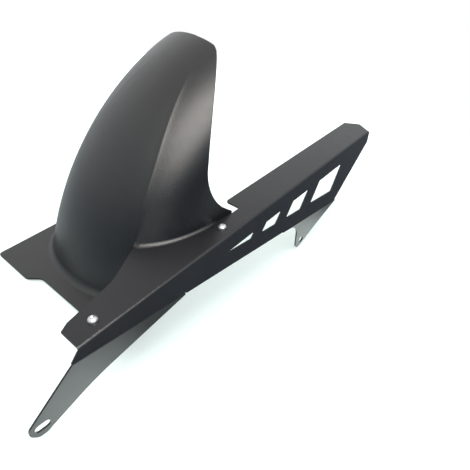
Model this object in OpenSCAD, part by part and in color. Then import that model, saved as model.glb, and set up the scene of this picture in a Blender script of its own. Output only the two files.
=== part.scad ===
// Rear hugger mudguard: a moulded arch over the rear tyre, and the folded chain guard that carries it.
// X runs rearward along the fold of the guard, Y inward towards the wheel, Z up.
// The origin is the centre of the fixing hole in the guard's rear tab, on its outer face.

/* [Mudguard arch] */
// Distance from the axle to the outside of the crown
crown_r = 361.5; // [330:0.1:390]
// Half width of the arch at its straight side walls
arch_half_w = 106.5; // [95:0.5:115]
// How far the rounded part of the section reaches in from the crown
arch_depth = 210.9; // [180:0.1:230]
// Thickness of the moulding
wall_t = 3; // [2:0.1:4]
// Axle of the arch, rearward of the front end of the fold
axle_x = 403; // [395:0.5:410]
// Axle of the arch, below the top of the guard
axle_drop = 183.9; // [178:0.1:190]
// Middle of the arch, inward of the fold
arch_mid_y = 133.3; // [128:0.1:138]
// Trailing edge of the crown, rearward of the front end of the fold
crown_end_x = 290.5; // [280:1:300]
// Height of the soft crease along each flank
crease_h = 2; // [0.5:0.1:3]
// How much farther rearward the hidden right side reaches
right_shift = 17; // [10:1:25]

/* [Front flange] */
// Top face of the front flange, below the top of the guard
flange_drop = 58; // [54:0.5:62]
// Front edge of the flange
flange_front_x = 42.7; // [36:0.1:48]
// Front edge of the wing on the right
wing_front_x = 31; // [24:0.5:36]
// Outer edge of the wing
wing_y = 239; // [232:0.5:242]

/* [Chain guard] */
// Length of the top plate along its fold
guard_len = 517; // [500:1:540]
// Width of the top plate behind the arch
guard_w = 43.3; // [38:0.1:48]
// Width of the top plate at its front end
guard_front_w = 24.2; // [22:0.1:28]
// Thickness of the sheet
sheet_t = 2; // [1.5:0.1:2.5]
// Outside radius of the bends
bend_r = 4; // [3:0.1:5]
// Flare of the side plate from upright
side_flare = 35; // [30:0.5:40]
// Depth of the side plate at the front end of the fold
side_front_h = 10.35; // [8:0.05:12]
// Fall of its bottom edge, in millimetres a millimetre
side_fall = 0.104; // [0.09:0.001:0.11]
// Lower rear corner of the side plate along the fold
side_end_x = 377; // [370:1:384]

/* [Guard windows] */
// Top edges of the windows, measured down the side plate
window_top = 14.6; // [13:0.1:16]
// Strip left below the windows
window_strip = 13.9; // [12.5:0.1:15]
// Rearward lean of the bars between the windows, in millimetres a millimetre of depth
bar_lean = 2.17; // [1.8:0.01:2.4]
// Corner radius of the windows
window_r = 2.4; // [1:0.1:3]

/* [Fixings] */
// Width of the slot in the front arm and bore of the rear tab
fixing_hole_d = 8.5; // [8:0.1:9]
// Length of the slot in the front arm
slot_len = 14; // [12:0.5:16]
// Thread of the two screws through the guard
screw_d = 5; // [4:0.5:6]
// Head of the screws
screw_head_d = 9.5; // [8.5:0.1:11]
// Play of a screw in its hole, all round
screw_play = 0.25; // [0.15:0.05:0.5]
// Gap between the guard and the arch
edge_gap = 1.2; // [0.6:0.1:2]

/* [Hidden] */
$fn = 96;

// Black moulding and black coated sheet
shell_colour = [0.13, 0.13, 0.14];
guard_colour = [0.2, 0.21, 0.22];

// Exponents of the section: round over the crown, straight down the walls
crown_power = 2;
wall_power = 6;
section_steps = 24;

// Crease of the flanks: place along the section, spread, softness, and where it fades out
crease_low = 50.7;
crease_rise = 0.7;
crease_spread = 13;
crease_soft = 2.5;
crease_from = 32;
crease_to = 57;
crease_fade_in = 10;
crease_fade_out = 12;
crease_least = 0.25;
mm_per_degree = 1.75;

// Grid of the moulding: angles along the section, and rows along the wheel
wall_heights = [0.25 : 0.1 : 0.75];
crown_angles = [28 : 3.1 : 90];
half_angles = concat([for (f = wall_heights) asin(pow(f, wall_power / 2))], [for (a = crown_angles) a]);
section_angles = concat(half_angles, [for (i = [len(half_angles) - 2 : -1 : 0]) 180 - half_angles[i]]);
arch_rows = 20;
base_r = crown_r - arch_depth;
front_angle = 14;
rear_angle = 76;
crown_slant = 7.4;
crown_lean = 18;
crown_end_z = 158;
foot_margin = 20;

// Rear edge of the arch in side view: upper end, middle and foot, with the radii it is rounded to
edge_top = [304, 166];
edge_middle = [231, 119.5];
edge_foot = [189, 31];
edge_foot_right = [190, 22];
edge_heel_right = 246;
edge_r = [200, 43, 70];

// Blocks that trim the arch reach this far past it
beyond = 60;
trim_block = [600, 500, 200];
trim_end_x = axle_x + beyond;
wall_foot_x = [118, 156];

// Chain guard directions
turn_top = 90 - side_flare;
fall_angle = atan(side_fall);
splay = atan(side_fall * sin(side_flare));
side_normal = [0, -cos(side_flare), sin(side_flare)];
down_side = [0, -sin(side_flare), -cos(side_flare)];
fold_dir = [cos(fall_angle), 0, 0] + sin(fall_angle) * down_side;
arm_along = [cos(splay), -sin(splay), 0];
arm_normal = [-sin(splay), -cos(splay), 0];
turn_arm = acos(side_normal * arm_normal);
arm_face = side_front_h * sin(side_flare) * cos(splay);
// A bend ends this far from its virtual corner, and the side plate reaches a little into both of its bends
join = 0.03;
top_setback = bend_r * tan(turn_top / 2);
arm_setback = bend_r * tan(turn_arm / 2) - join;
arm_drop = bend_r * tan(turn_arm / 2) * sqrt(1 + pow(side_fall * cos(splay) * cos(side_flare), 2));

// Arm and tab fixings in the arm's own plane: along it, and down from the top of the guard
slot_at = [-48.5, 53];
tab_hole_at = [305.5, 67.2];
tab_hole = tab_hole_at[0] * arm_along + arm_face * arm_normal - [0, 0, tab_hole_at[1]];

// Ends of the arm and the tab along the fold, and the step of the sheet's edge beside them
arm_sweep = 10;
arm_end = 110;
tab_start = 264.7;
relief_w = 2;

// Windows: rear end of the first, which tapers to a point, then front and rear end of each other one
window_at = [224.5, [246.6, 277.4], [301.8, 337.7], [363.8, 422.5]];
window_tight_r = 0.6;

// Notch in the top plate behind the foot of the arch
notch_x = 222;
notch_len = 12.5;
notch_y = 23.5;
notch_r = [3.5, 4];

// Top plate: corners of the front end's inner edge, how far behind the front of the arch it starts to
// follow the arch, and the rear end
plate_shoulder = [9, 29];
plate_edge = [66, 39.8];
plate_lap = 21.50741;
plate_arch_r = sqrt(pow(crown_r + edge_gap, 2) - pow(axle_drop - sheet_t / 2, 2));
plate_meets_arch_x = axle_x - plate_arch_r + plate_lap;
plate_edge_steps = 24;
plate_tip = 12.5;
tail_taper = [15, 12];

// Arm: knee, and the corners of its tip
arm_tip_top = [-63, 51];
arm_tip_low = [-53, 65.6];
arm_tip_r = 8.6;
arm_knee = [4, 42];
arm_knee_r = 220;

// Tab: heel and knee
tab_heel = [294.5, 80.5];
tab_heel_r = 6;
tab_neck_r = 18;
tab_knee = [335, 60.5];
tab_knee_r = 120;

// Two screws through the top plate
screw_y = 14.2;
screw_x = [25.5, 194.2];
screw_head_h = 2.8;
screw_len = 16;
key_af = 3;
key_depth = 1.8;
washer_d = 10;
washer_t = 1;
nut_af = 8;
nut_h = 5;
nut_play = 0.05;

// Seats under the guard
ledge_top = -sheet_t;
ledge_bottom = ledge_top - wall_t;
flange_top = -flange_drop;
flange_bottom = flange_top - wall_t;
ledge_front = [13, 6];
ledge_corner_y = 26;
ledge_bend = [40, 30];
ledge_under_arch = [160, 62];
ledge_end_x = 226;
web_front = [flange_front_x - 3.5, 27];
web_middle = [65, 32];
web_rear = [112, 57];
web_t = 3;
flange_rear = [150, 60];
flange_side = [108, 53];
flange_bow = [90, 40];
wing_step = [160, 174, 12];

function bottom_line(x) = side_front_h + side_fall * x;

// Virtual corner of the lower bends in the arm's own plane, down from the top of the guard
function fold_line(u) = bottom_line((u - arm_face * tan(splay)) * cos(splay)) * cos(side_flare);

// Points of a corner rounded to radius r, between the points before and after it
function corner(before, at, after, r, steps = 10) =
    let (a = (before - at) / norm(before - at),
         b = (after - at) / norm(after - at),
         half = acos(max(-1, min(1, a * b))) / 2,
         centre = at + (a + b) / norm(a + b) * r / sin(half),
         first = at + a * r / tan(half) - centre,
         last = at + b * r / tan(half) - centre,
         from = atan2(first[1], first[0]),
         sweep = (atan2(last[1], last[0]) - from + 540) % 360 - 180)
    [for (i = [0 : steps]) centre + r * [cos(from + sweep * i / steps), sin(from + sweep * i / steps)]];

// Outline through points [x, y, radius]
function rounded(points) =
    let (n = len(points), xy = [for (p = points) [p[0], p[1]]])
    [for (i = [0 : n - 1])
        each points[i][2] > 0
            ? corner(xy[(i + n - 1) % n], xy[i], xy[(i + 1) % n], points[i][2])
            : [xy[i]]];

// Half of the arch's section, from the wall's foot to the crown, as [distance from axle, half width]
function section_half(inset) =
    [for (i = [0 : section_steps])
        let (a = 90 * i / section_steps)
        [base_r + (arch_depth - inset) * pow(sin(a), 2 / wall_power),
         (arch_half_w - inset) * pow(cos(a), 2 / crown_power)]];

// Solid of the arch, smaller all round by inset
module arch_solid(inset) {
    half = section_half(inset);
    outline = concat(
        [[base_r - foot_margin, -half[0][1]]],
        [for (p = half) [p[0], -p[1]]],
        [for (i = [section_steps - 1 : -1 : 0]) half[i]],
        [[base_r - foot_margin, half[0][1]]]);
    translate([axle_x, arch_mid_y, -axle_drop])
        rotate([90, 0, 0])
            rotate([0, 0, 180 - rear_angle])
                rotate_extrude(angle = rear_angle - front_angle, $fn = 240)
                    polygon(outline);
}

// Smooth step from 0 to 1
function ease(x) = let (t = max(0, min(1, x))) t * t * (3 - 2 * t);

// Outward height of the crease at angle a along the section and angle turn round the wheel
function crease(a, turn) =
    let (side = min(a, 180 - a),
         off = (side - crease_low - crease_rise * (turn - crease_from)) * mm_per_degree,
         begun = crease_least + (1 - crease_least) * ease((turn - crease_from) / crease_fade_in),
         strength = begun * (1 - ease((turn - crease_to) / crease_fade_out)))
    crease_h * strength * exp(-sqrt(off * off + crease_soft * crease_soft) / crease_spread);

// Point of the moulding at angle a along the section and angle turn round the wheel
function arch_point(a, turn, inset) =
    let (lift = crease(a, turn),
         reach = base_r + (arch_depth - inset) * pow(sin(a), 2 / wall_power) + 0.92 * lift,
         half = (arch_half_w - inset) * cos(a) + 0.38 * lift * sign(cos(a)))
    [axle_x - reach * cos(turn), arch_mid_y - half, reach * sin(turn) - axle_drop];

// The moulding's curved wall, a closed grid with an outer and an inner face
module arch_wall() {
    cols = len(section_angles);
    rows = arch_rows + 1;
    turns = [for (j = [0 : arch_rows]) front_angle + (rear_angle - front_angle) * j / arch_rows];
    points = [for (inset = [0, wall_t]) for (turn = turns)
        for (a = section_angles) arch_point(a, turn, inset)];
    far = rows * cols;
    function at(i, j, layer) = layer * far + j * cols + i;
    // Two triangles for the patch whose corners, seen from within, run p, q, r, t
    function patch(p, q, r, t) = [[p, r, q], [p, t, r]];
    last = cols - 1;
    top = rows - 1;
    faces = concat(
        [for (j = [0 : top - 1]) for (i = [0 : last - 1]) each concat(
            patch(at(i, j, 0), at(i, j + 1, 0), at(i + 1, j + 1, 0), at(i + 1, j, 0)),
            patch(at(i, j, 1), at(i + 1, j, 1), at(i + 1, j + 1, 1), at(i, j + 1, 1)))],
        [for (i = [0 : last - 1]) each concat(
            patch(at(i, 0, 0), at(i + 1, 0, 0), at(i + 1, 0, 1), at(i, 0, 1)),
            patch(at(i, top, 0), at(i, top, 1), at(i + 1, top, 1), at(i + 1, top, 0)))],
        [for (j = [0 : top - 1]) each concat(
            patch(at(0, j, 0), at(0, j, 1), at(0, j + 1, 1), at(0, j + 1, 0)),
            patch(at(last, j, 0), at(last, j + 1, 0), at(last, j + 1, 1), at(last, j, 1)))]);
    polyhedron(points, faces, convexity = 6);
}

// Extrudes a side view outline [x, z] from y0 to y1
module side_view(y0, y1) {
    translate([0, y1, 0])
        rotate([90, 0, 0])
            linear_extrude(y1 - y0)
                children();
}

// Part of the side view that lies behind the rear edge of the left wall
module behind_left_wall() {
    side_view(-beyond, arch_mid_y)
        polygon(rounded([[edge_top[0], edge_top[1], 0], [edge_middle[0], edge_middle[1], edge_r[0]],
            [edge_foot[0], edge_foot[1], edge_r[1]], [ledge_end_x, ledge_top + 1, 0],
            [ledge_end_x, flange_bottom - beyond, 0], [trim_end_x, flange_bottom - beyond, 0],
            [trim_end_x, edge_top[1] + beyond, 0], [edge_top[0], edge_top[1] + beyond, 0]]));
}

// The same behind the right wall, which runs on down to the flange
module behind_right_wall() {
    side_view(arch_mid_y, 2 * arch_mid_y + beyond)
        translate([right_shift, 0])
            polygon(rounded([[edge_top[0], edge_top[1], 0], [edge_middle[0], edge_middle[1], edge_r[0]],
                [edge_foot_right[0], edge_foot_right[1], edge_r[2]],
                [edge_heel_right, flange_bottom - beyond, 0],
                [trim_end_x, flange_bottom - beyond, 0], [trim_end_x, edge_top[1] + beyond, 0],
                [edge_top[0], edge_top[1] + beyond, 0]]));
}

// Everything behind the trailing edge across the crown
module behind_crown() {
    translate([crown_end_x, arch_mid_y, crown_end_z])
        rotate([0, 0, -crown_slant])
            rotate([0, -crown_lean, 0])
                translate([0, -trim_block[1] / 2, -beyond])
                    cube(trim_block);
}

// Left wall below the ledge, which ends behind the web
module below_left_ledge() {
    side_view(-beyond, arch_mid_y - foot_margin)
        polygon([[wall_foot_x[0], flange_bottom - 1], [wall_foot_x[1], ledge_bottom],
            [trim_end_x, ledge_bottom], [trim_end_x, flange_bottom - beyond],
            [wall_foot_x[0], flange_bottom - beyond]]);
}

// Flange and wing seen from above
module flange_outline() {
    polygon(rounded([[web_front[0], web_front[1], 0], [flange_front_x, flange_bow[0], flange_bow[1]],
        [flange_front_x, wing_step[0], wing_step[2]], [wing_front_x, wing_step[1], wing_step[2]],
        [wing_front_x, wing_y, 4], [flange_rear[0], wing_y, 0], [flange_rear[0], flange_rear[1], 0],
        [flange_side[0], flange_side[1], 0], [web_middle[0], web_middle[1], 0]]));
}

// Web under the inner edge of the guard, from above
module web_outline() {
    outer = [web_front, web_middle, web_rear];
    polygon(concat(outer, [for (i = [2 : -1 : 0]) outer[i] + [0, web_t]]));
}

// Ledge that the guard's top plate lies on
module ledge_outline() {
    polygon(rounded([[ledge_front[0], ledge_front[1], 3], [ledge_front[0], ledge_corner_y, 3],
        [ledge_bend[0], ledge_bend[1], 0], [web_middle[0], web_middle[1] + web_t, 0],
        [web_rear[0], web_rear[1] + web_t, 0], [ledge_under_arch[0], ledge_under_arch[1], 0],
        [ledge_end_x, ledge_under_arch[1], 0], [ledge_end_x, ledge_front[1], 3]]));
}

module hugger_shell() {
    color(shell_colour)
    difference() {
        union() {
            difference() {
                arch_wall();
                behind_left_wall();
                behind_right_wall();
                behind_crown();
                below_left_ledge();
                translate([0, -trim_block[1] / 4, flange_bottom - trim_block[2]])
                    cube(trim_block);
            }
            difference() {
                union() {
                    translate([0, 0, flange_bottom])
                        linear_extrude(wall_t)
                            flange_outline();
                    translate([0, 0, flange_bottom])
                        linear_extrude(ledge_top - flange_bottom)
                            web_outline();
                    translate([0, 0, ledge_bottom])
                        linear_extrude(wall_t)
                            ledge_outline();
                }
                arch_solid(wall_t / 2);
            }
        }
        for (x = screw_x)
            translate([x, screw_y, ledge_bottom - 1])
                cylinder(d = screw_d + 2 * screw_play, h = wall_t + 2);
    }
}

// Inner edge of the top plate beside the arch, at x
function edge_by_arch(x) =
    let (reach = norm([axle_x - x, axle_drop - sheet_t / 2]),
         share = (reach - base_r) / (arch_depth + edge_gap))
    arch_mid_y - (arch_half_w + edge_gap) * pow(1 - pow(share, wall_power), 1 / crown_power);

// Top plate seen from above
module top_outline() {
    step = (notch_x - plate_meets_arch_x) / plate_edge_steps;
    by_arch = [for (i = [0 : plate_edge_steps])
        let (x = plate_meets_arch_x + i * step)
        [x, edge_by_arch(x), 0]];
    notch_end = notch_x + notch_len;
    polygon(rounded(concat(
        [[0, top_setback, 0], [0, guard_front_w, 1.5], [plate_shoulder[0], plate_shoulder[1], 6],
            [plate_edge[0], plate_edge[1], 60]],
        by_arch,
        [[notch_x, notch_y, 0], [notch_end, notch_y, notch_r[0]],
            [notch_end, guard_w + edge_gap, notch_r[1]], [guard_len + 2, guard_w, 1],
            [guard_len + plate_tip, guard_w / 2 + 0.8, 1.5], [guard_len, top_setback, 0]])));
}

// Side plate in its own plane, x along the fold and y down the plate
module side_outline() {
    polygon(rounded([[0, top_setback - join, 0], [-arm_sweep, bottom_line(-arm_sweep) - arm_setback, 0],
        [arm_end, bottom_line(arm_end) - arm_setback, 0],
        [arm_end + relief_w, bottom_line(arm_end + relief_w), 0],
        [tab_start - relief_w, bottom_line(tab_start - relief_w), 0],
        [tab_start, bottom_line(tab_start) - arm_setback, 0],
        [side_end_x, bottom_line(side_end_x) - arm_setback, 3],
        [guard_len - tail_taper[0], tail_taper[1], 6], [guard_len, top_setback - join, 0]]));
}

// One window between the leaning bars that start at front and rear on the top edge
module window(front, rear) {
    offset_line = side_front_h - window_strip;
    front_low = (front + bar_lean * (window_top - offset_line)) / (1 + bar_lean * side_fall);
    rear_low = (rear + bar_lean * (window_top - offset_line)) / (1 + bar_lean * side_fall);
    polygon(rounded([[front, window_top, window_r], [rear, window_top, window_tight_r],
        [rear_low, offset_line + side_fall * rear_low, window_r],
        [front_low, offset_line + side_fall * front_low, window_tight_r]]));
}

// First window, which tapers to a point forward
module front_window(rear) {
    offset_line = side_front_h - window_strip;
    rear_low = (rear + bar_lean * (window_top - offset_line)) / (1 + bar_lean * side_fall);
    polygon(rounded([[(window_top - offset_line) / side_fall + 2, window_top, 0],
        [rear, window_top, window_tight_r],
        [rear_low, offset_line + side_fall * rear_low, window_r]]));
}

// Cylindrical bend that leaves a face at its corner point and turns about the fold
module bend(at, along, normal, next_normal, turn, length) {
    across = cross(along, normal);
    centre = at - (normal + next_normal) * bend_r / (1 + normal * next_normal);
    multmatrix([[normal[0], across[0], along[0], centre[0]],
                [normal[1], across[1], along[1], centre[1]],
                [normal[2], across[2], along[2], centre[2]],
                [0, 0, 0, 1]])
        rotate_extrude(angle = turn)
            translate([bend_r - sheet_t, 0])
                square([sheet_t, length]);
}

// Front arm in its own plane, x along it and y down
module arm_outline() {
    difference() {
        polygon(rounded([[-arm_sweep, fold_line(-arm_sweep) + arm_drop, 0],
            [arm_tip_top[0], arm_tip_top[1], arm_tip_r], [arm_tip_low[0], arm_tip_low[1], arm_tip_r],
            [arm_knee[0], arm_knee[1], arm_knee_r], [arm_end, fold_line(arm_end) + arm_drop, 0]]));
        translate(slot_at)
            for (side = [-1, 1])
                translate([side * (slot_len - fixing_hole_d) / 2, 0])
                    circle(d = fixing_hole_d);
        translate(slot_at)
            square([slot_len - fixing_hole_d, fixing_hole_d], center = true);
    }
}

// Rear tab in its own plane
module tab_outline() {
    difference() {
        polygon(rounded([[tab_start, fold_line(tab_start) + arm_drop, 0],
            [tab_heel[0], fold_line(tab_heel[0]) + arm_drop + 1, tab_neck_r],
            [tab_heel[0], tab_heel[1], tab_heel_r], [tab_knee[0], tab_knee[1], tab_knee_r],
            [side_end_x, fold_line(side_end_x) + arm_drop, 0]]));
        translate(tab_hole_at)
            circle(d = fixing_hole_d);
    }
}

// Bend between the side plate and what hangs from it, from x = from to x = to
module lower_bend(from, to) {
    bend(bottom_line(from) * down_side + [from, 0, 0], fold_dir, side_normal, arm_normal, turn_arm,
        (to - from) / cos(fall_angle));
}

module in_arm_plane() {
    rotate([0, 0, -splay])
        translate([0, sheet_t - arm_face, 0])
            rotate([90, 0, 0])
                linear_extrude(sheet_t)
                    mirror([0, 1])
                        children();
}

// The sheet that the guard is folded from, in four flat and folded parts that meet face to face
module guard_top_plate() {
    color(guard_colour)
    difference() {
        translate([0, 0, -sheet_t])
            linear_extrude(sheet_t)
                top_outline();
        for (x = screw_x)
            translate([x, screw_y, -sheet_t - 1])
                cylinder(d = screw_d + 2 * screw_play, h = sheet_t + 2);
    }
}

module guard_side_plate() {
    color(guard_colour)
    union() {
        bend([0, 0, 0], [1, 0, 0], [0, 0, 1], side_normal, turn_top, guard_len);
        rotate([turn_top, 0, 0])
            translate([0, 0, -sheet_t])
                linear_extrude(sheet_t)
                    mirror([0, 1])
                        difference() {
                            side_outline();
                            front_window(window_at[0]);
                            for (w = [1 : 3])
                                window(window_at[w][0], window_at[w][1]);
                        }
        lower_bend(-arm_sweep, arm_end);
        lower_bend(tab_start, side_end_x);
    }
}

module guard_front_arm() {
    color(guard_colour)
    in_arm_plane()
        arm_outline();
}

module guard_rear_tab() {
    color(guard_colour)
    in_arm_plane()
        tab_outline();
}

module guard_screws() {
    color("silver")
    for (x = screw_x)
        translate([x, screw_y, 0])
            difference() {
                union() {
                    cylinder(d = screw_head_d, h = screw_head_h);
                    translate([0, 0, -screw_len])
                        cylinder(d = screw_d, h = screw_len);
                }
                translate([0, 0, screw_head_h - key_depth])
                    cylinder(d = key_af / cos(30), h = key_depth + 1, $fn = 6);
            }
}

module guard_washers() {
    color("silver")
    for (x = screw_x)
        translate([x, screw_y, ledge_bottom - washer_t])
            difference() {
                cylinder(d = washer_d, h = washer_t);
                translate([0, 0, -1])
                    cylinder(d = screw_d + 2 * screw_play, h = washer_t + 2);
            }
}

module guard_nuts() {
    color("silver")
    for (x = screw_x)
        translate([x, screw_y, ledge_bottom - washer_t - nut_h])
            difference() {
                cylinder(d = nut_af / cos(30), h = nut_h, $fn = 6);
                translate([0, 0, -1])
                    cylinder(d = screw_d + 2 * nut_play, h = nut_h + 2);
            }
}

translate(-tab_hole) hugger_shell();
translate(-tab_hole) guard_top_plate();
translate(-tab_hole) guard_side_plate();
translate(-tab_hole) guard_front_arm();
translate(-tab_hole) guard_rear_tab();
translate(-tab_hole) guard_screws();
translate(-tab_hole) guard_washers();
translate(-tab_hole) guard_nuts();
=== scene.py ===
# Looks of a rear hugger mudguard: moulded arch, folded chain guard, two bright screws.
# Lengths are in millimetres in the guard's own frame (X along its top fold, Y inward, Z up)
# and become metres in the row frame through at(). Angles are in degrees: a runs along the
# arch's section, 0 at its left wall, 90 at the crown, 180 at its right wall, and turn runs
# round the wheel, 0 level to the front, 90 above the axle.
import math

import bmesh
import bpy
import numpy as np
from mathutils import Matrix, Vector


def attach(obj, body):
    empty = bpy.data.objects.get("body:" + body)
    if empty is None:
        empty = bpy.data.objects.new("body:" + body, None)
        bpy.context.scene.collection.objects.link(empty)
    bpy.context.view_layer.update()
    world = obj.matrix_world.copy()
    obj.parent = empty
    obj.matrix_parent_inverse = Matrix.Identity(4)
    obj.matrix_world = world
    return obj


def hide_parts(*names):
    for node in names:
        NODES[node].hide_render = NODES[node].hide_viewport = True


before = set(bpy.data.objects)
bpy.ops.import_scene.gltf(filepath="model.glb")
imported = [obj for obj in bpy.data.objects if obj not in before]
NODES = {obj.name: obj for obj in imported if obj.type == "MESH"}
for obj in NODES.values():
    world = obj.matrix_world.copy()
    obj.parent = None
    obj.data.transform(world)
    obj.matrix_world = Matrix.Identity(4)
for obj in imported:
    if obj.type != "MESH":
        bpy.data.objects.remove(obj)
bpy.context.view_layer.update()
MM = 0.001
WELD = 2e-6
SHARP_FROM = math.radians(38)

# Guard sizes that place the origin at the hole of the rear tab
SIDE_FLARE = math.radians(35)
SIDE_FRONT_H = 10.35
SIDE_FALL = 0.104
TAB_HOLE_ALONG, TAB_HOLE_DOWN = 305.5, 67.2
SPLAY = math.atan(SIDE_FALL * math.sin(SIDE_FLARE))
ARM_FACE = SIDE_FRONT_H * math.sin(SIDE_FLARE) * math.cos(SPLAY)
ORIGIN = Vector((
    TAB_HOLE_ALONG * math.cos(SPLAY) - ARM_FACE * math.sin(SPLAY),
    -TAB_HOLE_ALONG * math.sin(SPLAY) - ARM_FACE * math.cos(SPLAY),
    -TAB_HOLE_DOWN,
))

# Arch of the moulding
CROWN_R, ARCH_DEPTH, ARCH_HALF_W = 361.5, 210.9, 106.5
BASE_R = CROWN_R - ARCH_DEPTH
AXLE_X, AXLE_Z, MID_Y = 403.0, -183.9, 133.3
WALL_POWER = 6
WALL_T = 3.0
FLANGE_Z = -58.0
LEDGE_Z = -2.0
RIGHT_SHIFT = 17.0

# Crease of the flanks: height, course over the section, two ends, spread
CREASE_H = 0.7
CREASE_LOW, CREASE_RISE = 50.1, 0.44
CREASE_TURNS, CREASE_MORE, TURN_SOFT = 46.0, 0.48, 2
CREASE_FROM, CREASE_FADE_IN, CREASE_LEAST = 32.0, 10, 0.25
CREASE_TO, CREASE_FADE_OUT = 57, 12
CREASE_SPREAD, CREASE_SOFT, MM_PER_DEGREE = 15.0, 2.5, 1.75
# Fine line along its ridge
LINE_H, LINE_SPREAD, LINE_SOFT = 0.7, 2.0, 0.7
# The photo shows hardly any of it on the right flank
FAR_FLANK_SHARE = 0.3
# How far a ridge of 1 mm moves the wall away from the axle, and sideways
RIDGE_OUT, RIDGE_ASIDE = 0.92, 0.38


def at(x, y, z):
    """Row frame place, in metres, of a point in the guard's frame, in millimetres."""
    return (Vector((x, y, z)) - ORIGIN) * MM


# Camera, solved from the straight folds of the guard
EYE = (-72.0, -230.8, 290.5)
LOOK_RIGHT = Vector((0.64788, -0.76174, 0.0))
LOOK_UP = Vector((0.48765, 0.41476, 0.76822))
FOCAL_PX, FRAME_PX = 420.0, 470.0
SENSOR = 36.0


def make_camera():
    data = bpy.data.cameras.new("camera")
    cam = bpy.data.objects.new("camera", data)
    bpy.context.scene.collection.objects.link(cam)
    data.sensor_width = SENSOR
    data.lens = SENSOR * FOCAL_PX / FRAME_PX
    data.clip_start, data.clip_end = 0.01, 20
    right = LOOK_RIGHT.normalized()
    up = (LOOK_UP - LOOK_UP.dot(right) * right).normalized()
    back = right.cross(up)
    cam.rotation_mode = "QUATERNION"
    cam.rotation_quaternion = Matrix((right, up, back)).transposed().to_quaternion()
    cam.location = at(*EYE)
    bpy.context.scene.camera = cam


def new_mesh(name, points, faces):
    """Piece of the part from points in the guard's frame, smooth but for its sharp edges."""
    mesh = bpy.data.meshes.new(name)
    place = (np.asarray(points, float) - np.array(ORIGIN)) * MM
    mesh.from_pydata(place.tolist(), [], [list(map(int, f)) for f in faces])
    mesh.validate()
    whole = bmesh.new()
    whole.from_mesh(mesh)
    bmesh.ops.remove_doubles(whole, verts=whole.verts, dist=WELD)
    bmesh.ops.recalc_face_normals(whole, faces=whole.faces)
    whole.to_mesh(mesh)
    whole.free()
    mesh.shade_smooth()
    mesh.set_sharp_from_angle(angle=SHARP_FROM)
    obj = bpy.data.objects.new(name, mesh)
    bpy.context.scene.collection.objects.link(obj)
    return obj


def soften(obj, width, segments=3):
    """Rounds the sharp edges of a piece a little, as a cut or a mould leaves them."""
    b = obj.modifiers.new("edges", "BEVEL")
    b.width = width * MM
    b.segments = segments
    b.limit_method = "ANGLE"
    b.angle_limit = math.radians(50)
    b.harden_normals = True


def ease(x):
    """Smooth step from 0 to 1."""
    t = np.clip(x, 0.0, 1.0)
    return t * t * (3 - 2 * t)


def crease(a, turn):
    """Height of the crease over the plain wall."""
    side = np.minimum(a, 180 - a)
    later = TURN_SOFT * np.log1p(np.exp((turn - CREASE_TURNS) / TURN_SOFT))
    line_a = CREASE_LOW + CREASE_RISE * (turn - CREASE_FROM) + CREASE_MORE * later
    off = (side - line_a) * MM_PER_DEGREE
    begun = CREASE_LEAST + (1 - CREASE_LEAST) * ease((turn - CREASE_FROM) / CREASE_FADE_IN)
    strength = begun * (1 - ease((turn - CREASE_TO) / CREASE_FADE_OUT))
    strength = strength * np.where(a > 90, FAR_FLANK_SHARE, 1.0)
    soft = CREASE_H * np.exp(-np.sqrt(off * off + CREASE_SOFT ** 2) / CREASE_SPREAD)
    line = LINE_H * np.exp(-np.sqrt(off * off + LINE_SOFT ** 2) / LINE_SPREAD)
    return strength * (soft + line)


def arch_point(a, turn, inset=0.0):
    """Point of the wall, inset by so much from its outer face."""
    ra, rt = np.radians(a), np.radians(turn)
    lift = crease(a, turn)
    rise = np.sin(ra) ** (2 / WALL_POWER)
    reach = BASE_R + (ARCH_DEPTH - inset) * rise + RIDGE_OUT * lift
    half = (ARCH_HALF_W - inset) * np.cos(ra) + RIDGE_ASIDE * lift * np.sign(np.cos(ra))
    return np.stack([AXLE_X - reach * np.cos(rt), MID_Y - half, reach * np.sin(rt) + AXLE_Z], -1)


def rounded(points, steps=16):
    """Outline through points (x, y, radius)."""
    out = []
    n = len(points)
    for i, (x, y, r) in enumerate(points):
        here = np.array((x, y), float)
        if r <= 0:
            out.append(here)
            continue
        a = np.array(points[i - 1][:2], float) - here
        b = np.array(points[(i + 1) % n][:2], float) - here
        a, b = a / np.linalg.norm(a), b / np.linalg.norm(b)
        half = math.acos(np.clip(a @ b, -1, 1)) / 2
        centre = here + (a + b) / np.linalg.norm(a + b) * r / math.sin(half)
        first, last = here + a * r / math.tan(half) - centre, here + b * r / math.tan(half) - centre
        start = math.atan2(first[1], first[0])
        sweep = (math.atan2(last[1], last[0]) - start + 3 * math.pi) % (2 * math.pi) - math.pi
        for k in range(steps + 1):
            t = start + sweep * k / steps
            out.append(centre + r * np.array((math.cos(t), math.sin(t))))
    return np.array(out)


# Rear edge of the walls in side view, from its heel up, as x at each height
EDGE_ABOVE = [(231, 119.5, 200), (304, 166, 0), (370, 208, 0)]
EDGE_LEFT = rounded([(226, -6, 0), (226, -1, 0), (189, 31, 43)] + EDGE_ABOVE)
EDGE_RIGHT = rounded([(246, -118, 0), (190, 22, 70)] + EDGE_ABOVE)
# Rear edge of the crown, as a plane, and how softly the two edges run into each other
CROWN_END = np.array((290.5, MID_Y, 158.0))
CROWN_SLANT, CROWN_LEAN = math.radians(7.4), math.radians(18)
CROWN_N = np.array((math.cos(CROWN_LEAN) * math.cos(CROWN_SLANT),
                    -math.cos(CROWN_LEAN) * math.sin(CROWN_SLANT), math.sin(CROWN_LEAN)))
EDGE_BLEND = 3.0


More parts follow.
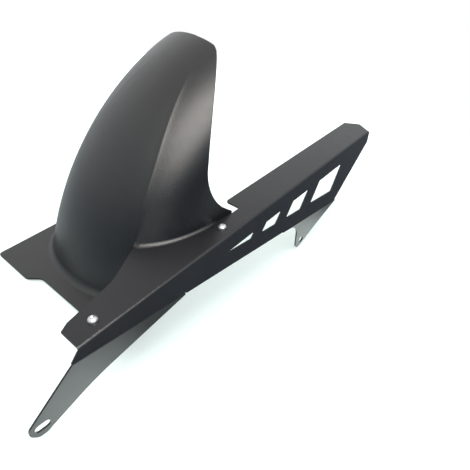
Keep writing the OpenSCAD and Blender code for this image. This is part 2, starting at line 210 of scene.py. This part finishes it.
def behind(p, right):
    """Distance by which a point lies behind the trailing edge, negative in front of it."""
    edge = EDGE_RIGHT if right else EDGE_LEFT
    side = p[0] - np.interp(p[2], edge[:, 1], edge[:, 0]) - (RIGHT_SHIFT if right else 0)
    crown = (p - CROWN_END) @ CROWN_N
    softer = math.log1p(math.exp(-abs(side - crown) / EDGE_BLEND)) * EDGE_BLEND * 0.5
    return max(side, crown) + softer


def solve(f, low, high):
    """Place between low and high where a rising f passes zero."""
    for _ in range(40):
        mid = (low + high) / 2
        if f(mid) > 0:
            high = mid
        else:
            low = mid
    return (low + high) / 2


# Below SPLIT_A the wall ends on the guard's plate, which hides what is under it. Above
# LOWER_WALL_A its skin runs on down to the flange.
SPLIT_A, LOWER_WALL_A = 50.6, 37.5
UNDER_PLATE_Z = -5.0
# Fillets where the wall meets the flange and where it lies on the plate. The one on the
# plate runs out rearward at LIP_END_X. Both start just above the face that they lie on.
FLANGE_FILLET, PLATE_FILLET = 6.5, 3.3
LIP_END_X, LIP_FADE = 202.0, 28.0
FOOT_LIFT, FILLET_LIFT = 0.1, 0.12
# Spread of the foot over the plate: how far, up to what height, and over which angle it grows
FOOT_FLARE, FLARE_HEIGHT, FLARE_FADE = 3.2, 40.0, 3.5
# Rounding of the rim, and a strip kept free at the outer end of the flange
RIM_R = 0.9
SIDE_STRIP = 0.1
# Rows of the skin. Each column has one at EVEN_FROM_Z, so that they lie level with each other.
EVEN_FROM_Z = 12.0
FILLET_ROWS, LOW_ROWS, ROWS, RIM_ROWS, INNER_ROWS = 10, 24, 120, 6, 60
# Turns between which a foot is sought, and up to which the rim is
FOOT_TURNS, TOP_TURN = (5.0, 75.0), 80.0


def wall_columns():
    """Angles of the skin's columns, closest where the crease runs."""
    def by_rise(first, last, count):
        return [math.degrees(math.asin(s ** (WALL_POWER / 2))) for s in np.linspace(first, last, count)]

    left = [a for a in by_rise(0.5, 0.77, 34) if a < 26]
    left += list(np.arange(27, 42, 0.7))
    left += list(np.arange(42, 80, 0.3))
    left += list(np.arange(80, 90, 1.0))
    right = [180 - a for a in left if a > 20]
    right += [180 - a for a in by_rise(0.69, 0.285, 30)]
    return sorted(left) + [90.0] + sorted(right)


def flare(p, a):
    """How far the foot of the side wall spreads over the guard's plate at that height."""
    if a > SPLIT_A or p[2] < 0:
        return 0.0
    return FOOT_FLARE * max(0.0, 1 - p[2] / FLARE_HEIGHT) ** 2 * float(ease((SPLIT_A - a) / FLARE_FADE))


def outward(a, turn):
    """Level direction away from the wall's outer face."""
    here = arch_point(a, turn)
    normal = np.cross(arch_point(a, turn + 0.5) - here, arch_point(a + 0.5, turn) - here)
    normal /= np.linalg.norm(normal)
    if normal @ (here - arch_point(a, turn, 2.0)) < 0:
        normal = -normal
    level = normal * (1, 1, 0)
    return level / np.linalg.norm(level)


def wall_column(a):
    """Closed loop of the skin at one angle: foot, fillet, outer face, rounded rim, inner face."""
    right = a > 90
    on_plate = a < SPLIT_A
    level = 0.0 if on_plate else FLANGE_Z

    def turn_at(z):
        return solve(lambda t: arch_point(a, t)[2] - z, *FOOT_TURNS)

    foot = turn_at(level)
    deeper = turn_at(FLANGE_Z - WALL_T if a > LOWER_WALL_A else UNDER_PLATE_Z)
    top = solve(lambda t: behind(arch_point(a, t), right), foot - 0.5, TOP_TURN)
    per_mm = math.degrees(1 / np.linalg.norm(arch_point(a, top)[[0, 2]] - (AXLE_X, AXLE_Z)))
    foot_p = arch_point(a, foot)
    out = outward(a, foot)

    fillet = PLATE_FILLET if on_plate else FLANGE_FILLET
    spread = 1.0
    if right:
        room = MID_Y + ARCH_HALF_W - SIDE_STRIP - foot_p[1]
        spread = min(1.0, max(0.0, room / fillet))
    if on_plate:
        spread = float(ease((LIP_END_X - foot_p[0]) / LIP_FADE))

    def skin(turn, inset=0.0, more=0.0):
        p = arch_point(a, turn, inset)
        return p + out * (more + flare(p, a))

    bottom = arch_point(a, deeper)
    loop = [bottom, foot_p + (0, 0, FOOT_LIFT) if on_plate else bottom]
    climb = max(arch_point(a, foot + 1.0)[2] - level, 0.3)
    start = foot
    for phi in np.radians(np.linspace(0, 90, FILLET_ROWS)):
        rise = fillet * (1 - math.cos(phi))
        start = min(foot + (rise + FILLET_LIFT) / climb, top - 0.3)
        loop.append(skin(start, more=fillet * (1 - math.sin(phi)) * spread))
    end = top - RIM_R * per_mm
    even = min(turn_at(EVEN_FROM_Z), start + 0.4 * (end - start))
    loop += [skin(start + (even - start) * k / LOW_ROWS) for k in range(1, LOW_ROWS)]
    loop += [skin(even + (end - even) * k / ROWS) for k in range(ROWS)]
    rim = []
    for phi in np.radians(np.linspace(0, 90, RIM_ROWS)):
        rim.append((top - RIM_R * (1 - math.sin(phi)) * per_mm, RIM_R * (1 - math.cos(phi))))
    loop += [skin(turn, inset) for turn, inset in rim]
    loop += [skin(turn, WALL_T - inset) for turn, inset in reversed(rim)]
    loop += [skin(end + (deeper - end) * k / INNER_ROWS, WALL_T) for k in range(1, INNER_ROWS + 1)]
    return loop


def make_arch():
    """The curved wall as one closed skin, and the loops that it is made of."""
    loops = [wall_column(a) for a in wall_columns()]
    n = len(loops[0])
    points = np.array([p for loop in loops for p in loop])
    faces = []
    for i in range(len(loops) - 1):
        for j in range(n):
            k = (j + 1) % n
            faces.append((i * n + j, (i + 1) * n + j, (i + 1) * n + k, i * n + k))
    faces.append(list(range(n)))
    faces.append([(len(loops) - 1) * n + j for j in range(n - 1, -1, -1)])
    return new_mesh("moulded_arch", points, faces), loops


def plate(name, outline, z0, z1, edge=0.5):
    """Flat plate of the moulding with softened edges."""
    n = len(outline)
    points = [(p[0], p[1], z0) for p in outline] + [(p[0], p[1], z1) for p in outline]
    faces = [list(range(n - 1, -1, -1)), list(range(n, 2 * n))]
    faces += [(i, (i + 1) % n, n + (i + 1) % n, n + i) for i in range(n)]
    obj = new_mesh(name, points, faces)
    soften(obj, edge)
    return obj


# Flange with its wing, and the web and ledge that the guard hides
FLANGE_X, WING_X, WING_Y = 42.7, 31.0, 239.0
FLANGE_REAR_X, FLANGE_OVERLAP = 150, 1.5
WEB = ((FLANGE_X - 3.5, 27.0), (65.0, 32.0), (112.0, 57.0))
LEDGE_FRONT = [(13, 6, 3), (13, 26, 3), (40, 30, 0), (65, 35, 0), (112, 60, 0), (118, 56, 0)]
LEDGE_REAR = [(222, 26, 0), (226, 6, 3)]
HIDDEN_EDGE = 0.3


def ledge_edge(x):
    """Inner edge of the ledge, 1 mm inside the arch's outer face."""
    share = (math.hypot(AXLE_X - x, LEDGE_Z - AXLE_Z) - BASE_R) / (ARCH_DEPTH - 1)
    return MID_Y - (ARCH_HALF_W - 1) * math.sqrt(max(0.0, 1 - share ** WALL_POWER))


def make_moulding():
    arch, loops = make_arch()
    front = rounded([(*WEB[0], 0), (FLANGE_X, 90, 40), (FLANGE_X, 160, 12), (WING_X, 174, 12),
                     (WING_X, WING_Y, 4), (FLANGE_REAR_X, WING_Y, 0)])
    foot = [loop[0] for loop, a in zip(loops, wall_columns()) if a > LOWER_WALL_A + 2]
    under = [(p[0] + FLANGE_OVERLAP, p[1]) for p in reversed(foot) if p[0] < FLANGE_REAR_X]
    flange = plate("moulded_flange", [*front, *under, WEB[1]], FLANGE_Z - WALL_T, FLANGE_Z)
    web_ring = list(WEB) + [(x, y + WALL_T) for x, y in reversed(WEB)]
    web = plate("moulded_web", web_ring, FLANGE_Z - WALL_T, LEDGE_Z, HIDDEN_EDGE)
    along_arch = [(x, ledge_edge(x), 0) for x in range(124, 216, 8)]
    ledge_ring = rounded(LEDGE_FRONT + along_arch + LEDGE_REAR)
    ledge = plate("moulded_ledge", ledge_ring, LEDGE_Z - WALL_T, LEDGE_Z, HIDDEN_EDGE)
    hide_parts("hugger_shell")
    return [arch, flange, web, ledge]


def node_tree(name):
    mat = bpy.data.materials.new(name)
    mat.use_nodes = True
    tree = mat.node_tree
    tree.nodes.clear()
    out = tree.nodes.new("ShaderNodeOutputMaterial")
    return mat, tree, out


def surface(name):
    """New material with its shader, and the piece's own coordinates for the patterns."""
    mat, tree, out = node_tree(name)
    shader = tree.nodes.new("ShaderNodeBsdfPrincipled")
    tree.links.new(shader.outputs[0], out.inputs[0])
    coords = tree.nodes.new("ShaderNodeTexCoord").outputs["Object"]
    return mat, tree, shader, coords


def noise(tree, coords, scale, detail=4.0, roughness=0.6):
    n = tree.nodes.new("ShaderNodeTexNoise")
    n.inputs["Scale"].default_value = scale
    n.inputs["Detail"].default_value = detail
    n.inputs["Roughness"].default_value = roughness
    tree.links.new(coords, n.inputs["Vector"])
    return n.outputs["Fac"]


def ramp(tree, fac, stops):
    r = tree.nodes.new("ShaderNodeValToRGB")
    elements = r.color_ramp.elements
    elements[0].position, elements[0].color = stops[0][0], (*stops[0][1], 1)
    elements[1].position, elements[1].color = stops[-1][0], (*stops[-1][1], 1)
    for position, colour in stops[1:-1]:
        e = elements.new(position)
        e.color = (*colour, 1)
    tree.links.new(fac, r.inputs["Fac"])
    return r.outputs["Color"]


def span(tree, fac, low, high, from_low=0.3, from_high=0.7):
    """Maps from_low..from_high of a value to low..high."""
    m = tree.nodes.new("ShaderNodeMapRange")
    m.inputs["From Min"].default_value = from_low
    m.inputs["From Max"].default_value = from_high
    m.inputs["To Min"].default_value = low
    m.inputs["To Max"].default_value = high
    tree.links.new(fac, m.inputs["Value"])
    return m.outputs["Result"]


def bump(tree, height, strength, distance, under=None):
    b = tree.nodes.new("ShaderNodeBump")
    b.inputs["Strength"].default_value = strength
    b.inputs["Distance"].default_value = distance
    tree.links.new(height, b.inputs["Height"])
    if under is not None:
        tree.links.new(under, b.inputs["Normal"])
    return b.outputs["Normal"]


def combine(tree, operation, a, b=0.0):
    """Result of one Math node from two values, each a number or a socket."""
    m = tree.nodes.new("ShaderNodeMath")
    m.operation = operation
    for value, socket in ((a, m.inputs[0]), (b, m.inputs[1])):
        if isinstance(value, (int, float)):
            socket.default_value = value
        else:
            tree.links.new(value, socket)
    return m.outputs[0]


def grey(v, tint=(1, 1, 1)):
    return tuple(v * t for t in tint)


MOULDING_TINT = (0.95, 1, 1.1)
GRAIN_SCALE, GRAIN_DEPTH = 1050.0, 0.00015


def moulding_material():
    """Matte black ABS with a fine leather grain and faint handling marks."""
    mat, tree, shader, coords = surface("textured_black_moulding")
    colours = [(0.3, grey(0.0035, MOULDING_TINT)), (0.7, grey(0.0052, MOULDING_TINT))]
    patches = noise(tree, coords, 9.0, 3.0)
    tree.links.new(ramp(tree, patches, colours), shader.inputs["Base Color"])
    marks = noise(tree, coords, 60.0, 5.0)
    tree.links.new(span(tree, marks, 0.34, 0.39), shader.inputs["Roughness"])
    shader.inputs["Specular IOR Level"].default_value = 0.5
    cells = tree.nodes.new("ShaderNodeTexVoronoi")
    cells.inputs["Scale"].default_value = GRAIN_SCALE
    tree.links.new(coords, cells.inputs["Vector"])
    grain = bump(tree, cells.outputs["Distance"], 0.5, GRAIN_DEPTH)
    waves = bump(tree, noise(tree, coords, 25.0, 2.0), 0.08, 0.0006, grain)
    tree.links.new(waves, shader.inputs["Normal"])
    return mat


# Painted highlight and real wear along the guard's fold, in metres: the painted highlight thins out
# rearward, the chips of worn coat from CHIPS_FROM on
FOLD_HIGHLIGHT_AND_WEAR_TO, CHIPS_FROM = 0.11, 0.02
# How far the painted highlight lightens the coat along the fold; the colour below serves both the painted
# highlight and the bare chips
FOLD_HIGHLIGHT_SHARE = 0.45
BARE_METAL_AND_HIGHLIGHT = (0.17, 0.17, 0.175, 1)


def fold_wear_and_painted_highlight(tree, coords):
    """Share of painted highlight and of chipped, bare coat along the guard's top fold, most at its front
    end.
    """
    place = tree.nodes.new("ShaderNodeVectorMath")
    place.operation = "ADD"
    place.inputs[1].default_value = ORIGIN * MM
    tree.links.new(coords, place.inputs[0])
    split = tree.nodes.new("ShaderNodeSeparateXYZ")
    tree.links.new(place.outputs[0], split.inputs[0])
    x, y, z = split.outputs
    squares = [combine(tree, "MULTIPLY", part, part) for part in (y, z)]
    away = combine(tree, "SQRT", combine(tree, "ADD", *squares))
    on_fold = span(tree, away, 1.0, 0.0, 0.0004, 0.0009)
    forward = span(tree, x, 1.0, 0.1, 0.0, FOLD_HIGHLIGHT_AND_WEAR_TO)
    patchy = span(tree, noise(tree, coords, 130.0, 4.0), 0.35, 1.0, 0.4, 0.6)
    # Painted highlight: the coat lightened along the fold, most at the front, standing in for the lit bend
    painted_fold_highlight = combine(tree, "MULTIPLY", combine(tree, "MULTIPLY", on_fold, forward), patchy)
    chips = span(tree, noise(tree, coords, 420.0, 3.0, 0.7), 0.0, 1.0, 0.60, 0.66)
    chips = combine(tree, "MULTIPLY", chips, span(tree, x, 1.0, 0.0, CHIPS_FROM, FOLD_HIGHLIGHT_AND_WEAR_TO))
    chips = combine(tree, "MULTIPLY", chips, span(tree, away, 1.0, 0.0, 0.0006, 0.0017))
    return combine(tree, "MAXIMUM", combine(tree, "MULTIPLY", painted_fold_highlight, FOLD_HIGHLIGHT_SHARE), chips)


def guard_material():
    """Satin black powder coat on sheet aluminium, with orange peel, chipped wear and a painted highlight
    along the fold.
    """
    mat, tree, shader, coords = surface("satin_black_powder_coat")
    colours = [(0.3, (0.0030, 0.0033, 0.0045)), (0.7, (0.0046, 0.0049, 0.0062))]
    patches = noise(tree, coords, 14.0, 3.0)
    mix = tree.nodes.new("ShaderNodeMixRGB")
    tree.links.new(fold_wear_and_painted_highlight(tree, coords), mix.inputs[0])
    tree.links.new(ramp(tree, patches, colours), mix.inputs[1])
    # Colour of bare metal for the chips, also used as the painted highlight along the fold
    mix.inputs[2].default_value = BARE_METAL_AND_HIGHLIGHT
    tree.links.new(mix.outputs[0], shader.inputs["Base Color"])
    marks = noise(tree, coords, 90.0, 5.0)
    tree.links.new(span(tree, marks, 0.33, 0.39), shader.inputs["Roughness"])
    shader.inputs["Specular IOR Level"].default_value = 0.45
    peel = bump(tree, noise(tree, coords, 1100.0, 2.0), 0.2, 0.0001)
    tree.links.new(peel, shader.inputs["Normal"])
    return mat


def steel_material():
    mat, tree, shader, coords = surface("bright_stainless")
    shader.inputs["Metallic"].default_value = 1.0
    colours = [(0.3, grey(0.5)), (0.7, grey(0.6))]
    tree.links.new(ramp(tree, noise(tree, coords, 300.0), colours), shader.inputs["Base Color"])
    tree.links.new(span(tree, noise(tree, coords, 900.0), 0.28, 0.4), shader.inputs["Roughness"])
    tree.links.new(bump(tree, noise(tree, coords, 2500.0), 0.1, 0.00003), shader.inputs["Normal"])
    return mat


# Points on which the part stands in the photograph
REST_POINTS = ((-53.0, -3.0, -63.2), (300.0, -24.0, -78.8), (31.0, 238.0, -61.6))
FLOOR_SIZE = 1.5
# Table as the part mirrors it, as the camera sees it, and how much it glows for the camera
TABLE_MIRRORED = (0.36, 0.40, 0.40, 1)
TABLE_SEEN = (0.42, 0.47, 0.455, 1)
TABLE_GLOW, GLOW_COLOUR = 0.6, (0.9, 1.0, 0.96, 1)
# Glowing spots painted on the table as pools of light, which only the arm and the tab mirror: place, reach
# in mm, radiance
PAINTED_LIGHT_SPOTS = (((-18.0, -22.0, -64.0), 100.0, 3.0), ((325.0, -42.0, -79.0), 90.0, 2.8))
SPOT_CORE = 0.2


# Glow of one painted spot of light on the table, fading out over its reach
def painted_light_spot(tree, place, reach, radiance):
    coords = tree.nodes.new("ShaderNodeTexCoord").outputs["Object"]
    away = tree.nodes.new("ShaderNodeVectorMath")
    away.operation = "DISTANCE"
    away.inputs[1].default_value = at(*place)
    tree.links.new(coords, away.inputs[0])
    return span(tree, away.outputs["Value"], radiance, 0.0, SPOT_CORE * reach * MM, reach * MM)


def table_material():
    """Pale table, brighter for the camera, seen through from below, with painted glowing spots that only
    reflections see.
    """
    mat, tree, out = node_tree("pale_table")
    shader = tree.nodes.new("ShaderNodeBsdfPrincipled")
    shader.inputs["Roughness"].default_value = 0.7
    shader.inputs["Emission Color"].default_value = GLOW_COLOUR
    seen = tree.nodes.new("ShaderNodeLightPath").outputs["Is Camera Ray"]
    tone = tree.nodes.new("ShaderNodeMixRGB")
    tone.inputs[1].default_value = TABLE_MIRRORED
    tone.inputs[2].default_value = TABLE_SEEN
    tree.links.new(seen, tone.inputs[0])
    tree.links.new(tone.outputs[0], shader.inputs["Base Color"])
    # Painted pools of light that glow for every ray but the camera's
    painted_glow = combine(tree, "MAXIMUM", *(painted_light_spot(tree, *spot) for spot in PAINTED_LIGHT_SPOTS))
    unseen = combine(tree, "SUBTRACT", 1.0, seen)
    mirrored = combine(tree, "MULTIPLY", unseen, painted_glow)
    glow = combine(tree, "ADD", combine(tree, "MULTIPLY", seen, TABLE_GLOW), mirrored)
    tree.links.new(glow, shader.inputs["Emission Strength"])
    below = tree.nodes.new("ShaderNodeBsdfTransparent")
    mix = tree.nodes.new("ShaderNodeMixShader")
    tree.links.new(tree.nodes.new("ShaderNodeNewGeometry").outputs["Backfacing"], mix.inputs[0])
    tree.links.new(shader.outputs[0], mix.inputs[1])
    tree.links.new(below.outputs[0], mix.inputs[2])
    tree.links.new(mix.outputs[0], out.inputs[0])
    return mat


def make_floor():
    """Table under the part, white to the camera but for the shadows on it."""
    a, b, c = (at(*p) for p in REST_POINTS)
    up = (b - a).cross(c - a).normalized()
    if up.z < 0:
        up.negate()
    along = (b - a).normalized()
    side = up.cross(along)
    middle = (a + b + c) / 3
    h = FLOOR_SIZE / 2
    corners = [middle + along * h * i + side * h * j for i, j in ((-1, -1), (1, -1), (1, 1), (-1, 1))]
    mesh = bpy.data.meshes.new("table_top")
    mesh.from_pydata(corners, [], [(0, 1, 2, 3)])
    floor = bpy.data.objects.new("table_top", mesh)
    bpy.context.scene.collection.objects.link(floor)
    floor.data.materials.append(table_material())


# Room from below the horizon on the near side to the zenith, as half of its brightness
ROOM_TONES = [(0.0, (0.07, 0.09, 0.12)), (0.16, (0.16, 0.21, 0.28)), (0.42, (0.42, 0.45, 0.46)),
              (0.6, (0.62, 0.64, 0.65)), (0.86, (0.72, 0.72, 0.72)), (0.96, (0.47, 0.45, 0.46))]
ROOM_STRENGTH = 2.0
# Direction in which the tones run, and its range
ROOM_UP, ROOM_LOW, ROOM_HIGH = (0.26, 0.42, 1.0), -0.2, 1.15


def make_world():
    """Dim room, brighter overhead, that the camera sees as plain white."""
    world = bpy.data.worlds.new("studio")
    bpy.context.scene.world = world
    world.use_nodes = True
    tree = world.node_tree
    tree.nodes.clear()
    out = tree.nodes.new("ShaderNodeOutputWorld")
    towards = tree.nodes.new("ShaderNodeTexCoord").outputs["Generated"]
    height = tree.nodes.new("ShaderNodeVectorMath")
    height.operation = "DOT_PRODUCT"
    height.inputs[1].default_value = ROOM_UP
    tree.links.new(towards, height.inputs[0])
    share = span(tree, height.outputs["Value"], 0, 1, ROOM_LOW, ROOM_HIGH)
    room = tree.nodes.new("ShaderNodeBackground")
    room.inputs["Strength"].default_value = ROOM_STRENGTH
    tree.links.new(ramp(tree, share, ROOM_TONES), room.inputs["Color"])
    white = tree.nodes.new("ShaderNodeBackground")
    white.inputs["Color"].default_value = (1, 1, 1, 1)
    path = tree.nodes.new("ShaderNodeLightPath")
    mix = tree.nodes.new("ShaderNodeMixShader")
    tree.links.new(path.outputs["Is Camera Ray"], mix.inputs["Fac"])
    tree.links.new(room.outputs[0], mix.inputs[1])
    tree.links.new(white.outputs[0], mix.inputs[2])
    tree.links.new(mix.outputs[0], out.inputs[0])


def soft_sun(name, azimuth, elevation, strength, width, colour, glossy=True, diffuse=True):
    """Broad soft light from a direction; azimuth 0 is outward of the guard, 90 rearward."""
    data = bpy.data.lights.new(name, "SUN")
    data.energy = strength
    data.angle = math.radians(width)
    data.color = colour
    lamp = bpy.data.objects.new(name, data)
    bpy.context.scene.collection.objects.link(lamp)
    a, e = math.radians(azimuth), math.radians(elevation)
    towards = Vector((math.sin(a) * math.cos(e), -math.cos(a) * math.cos(e), math.sin(e)))
    lamp.rotation_mode = "QUATERNION"
    lamp.rotation_quaternion = towards.to_track_quat("Z", "Y")
    lamp.visible_glossy, lamp.visible_diffuse = glossy, diffuse


def make_lights():
    soft_sun("softbox", -22, 62, 4.6, 44, (1.0, 0.95, 0.9), diffuse=False)
    soft_sun("ceiling", 150, 70, 3.4, 80, (0.97, 1.0, 0.98), glossy=False)


# Screws: places, shank, domed head. A ring is its radius, its height and whether it is a
# hexagon, whose radius then is half its width across flats.
SCREW_X, SCREW_Y = (25.5, 194.2), 14.2
SHANK_R, SHANK_LEN, HEAD_R = 2.5, 16.0, 5.0
DOME_FOOT, DOME_RISE, DOME_ANGLES = 0.35, 3.6, (4, 12, 21, 30, 39, 48, 57, 64)
KEY_RECESS = [(1.75, 3.72, True), (1.62, 3.6, True), (1.55, 2.6, True), (0.0, 2.4, False)]
BROKEN_EDGE = 0.2
KEY_TURN = 0.3
SCREW_SIDES = 60


def make_screws():
    """Domed socket screws, turned, with a hexagonal key recess."""
    rings = [(0.0, -SHANK_LEN, False), (SHANK_R - BROKEN_EDGE, -SHANK_LEN, False),
             (SHANK_R, BROKEN_EDGE - SHANK_LEN, False), (SHANK_R, -0.02, False),
             (HEAD_R - BROKEN_EDGE, 0.0, False), (HEAD_R, BROKEN_EDGE, False)]
    for t in np.radians(DOME_ANGLES):
        rings.append((HEAD_R * math.cos(t), DOME_FOOT + DOME_RISE * math.sin(t), False))
    rings += KEY_RECESS
    n = SCREW_SIDES
    points, faces = [], []
    for x in SCREW_X:
        base = len(points)
        for radius, z, hexagonal in rings:
            for k in range(n):
                t = 2 * math.pi * k / n
                r = radius / math.cos((t + KEY_TURN) % (math.pi / 3) - math.pi / 6) if hexagonal else radius
                points.append((x + r * math.cos(t), SCREW_Y + r * math.sin(t), z))
        for j in range(len(rings) - 1):
            low, high = base + j * n, base + (j + 1) * n
            for k in range(n):
                m = (k + 1) % n
                faces.append((low + k, low + m, high + m, high + k))
    obj = new_mesh("domed_screws", points, faces)
    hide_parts("guard_screws")
    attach(obj, "root")
    return obj


def paint(node, mat):
    obj = NODES[node]
    obj.data.materials.clear()
    obj.data.materials.append(mat)


def finish_sheet(obj):
    """Flattens the faces of a sheet that was meshed from CAD, and breaks its cut edges."""
    flat = obj.modifiers.new("flat faces", "DECIMATE")
    flat.decimate_type = "DISSOLVE"
    flat.angle_limit = math.radians(0.5)
    soften(obj, 0.25, 2)
    joined = obj.modifiers.new("joined edges", "WELD")
    joined.merge_threshold = 5 * WELD


GUARD = ("guard_top_plate", "guard_side_plate", "guard_front_arm", "guard_rear_tab")

make_camera()
make_floor()
make_world()
make_lights()
moulding = moulding_material()
for piece in make_moulding():
    piece.data.materials.append(moulding)
    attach(piece, "root")
coat = guard_material()
for node in GUARD:
    paint(node, coat)
    finish_sheet(NODES[node])
steel = steel_material()
make_screws().data.materials.append(steel)
for fastener in ("guard_washers", "guard_nuts"):
    paint(fastener, steel)

bpy.context.scene.view_settings.view_transform = "Standard"
